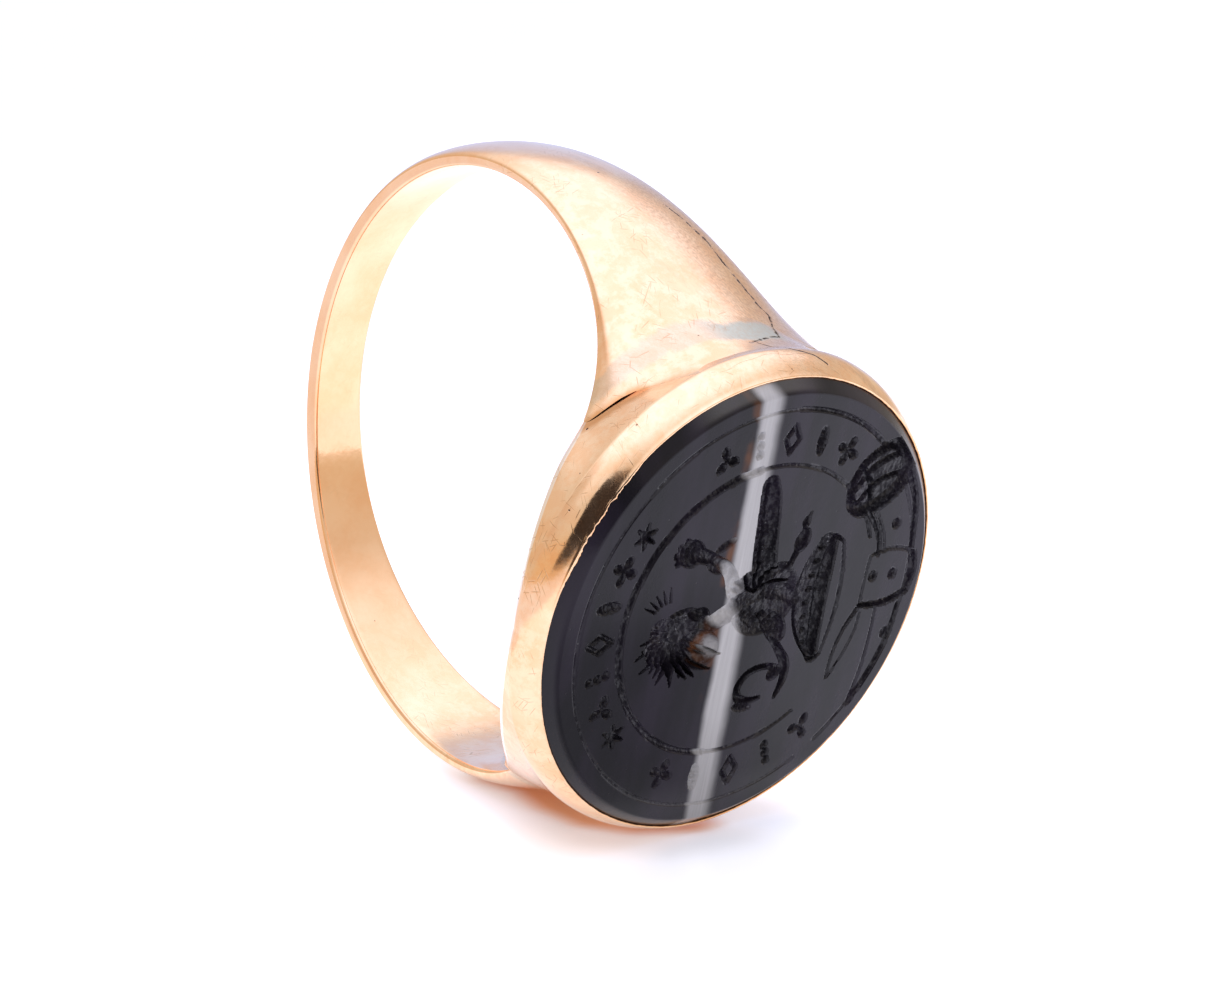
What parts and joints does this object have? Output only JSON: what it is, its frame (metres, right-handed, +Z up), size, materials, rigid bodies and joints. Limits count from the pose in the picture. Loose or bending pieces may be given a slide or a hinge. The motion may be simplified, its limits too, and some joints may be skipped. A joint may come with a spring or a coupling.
{
  "type": "signet ring",
  "caption": "Gold signet ring: slim domed hoop swelling into shoulders, and an oval closed-back bezel holding a flat, bevelled banded-agate seal.",
  "frame": {"origin": "on the floor under the middle of the ring's bounding box, as the ring rests on its hoop and the lower edge of its bezel", "axes": "+Z up; +Y along the finger; +X towards the seal, which leans forward by 14.9 degrees"},
  "size_m": [0.0224, 0.0156, 0.02],
  "materials": {
    "rose_gold": "high polish with fine wear scratches",
    "gold_solder": "paler, slightly dull solder",
    "banded_agate": "polished near-black stone with one pale band",
    "setting_pitch": "dull dark packing"
  },
  "bodies": {
    "root": {"shank_band": "rose_gold", "band_solder_upper": "gold_solder", "band_solder_lower": "gold_solder", "shoulder_upper": "rose_gold", "shoulder_lower": "rose_gold", "bezel_solder_upper": "gold_solder", "bezel_solder_lower": "gold_solder", "bezel_collar": "rose_gold", "back_plate": "rose_gold", "stone_bearer": "rose_gold", "setting_pitch": "setting_pitch", "seal_stone": "banded_agate"}
  },
  "joints": []
}
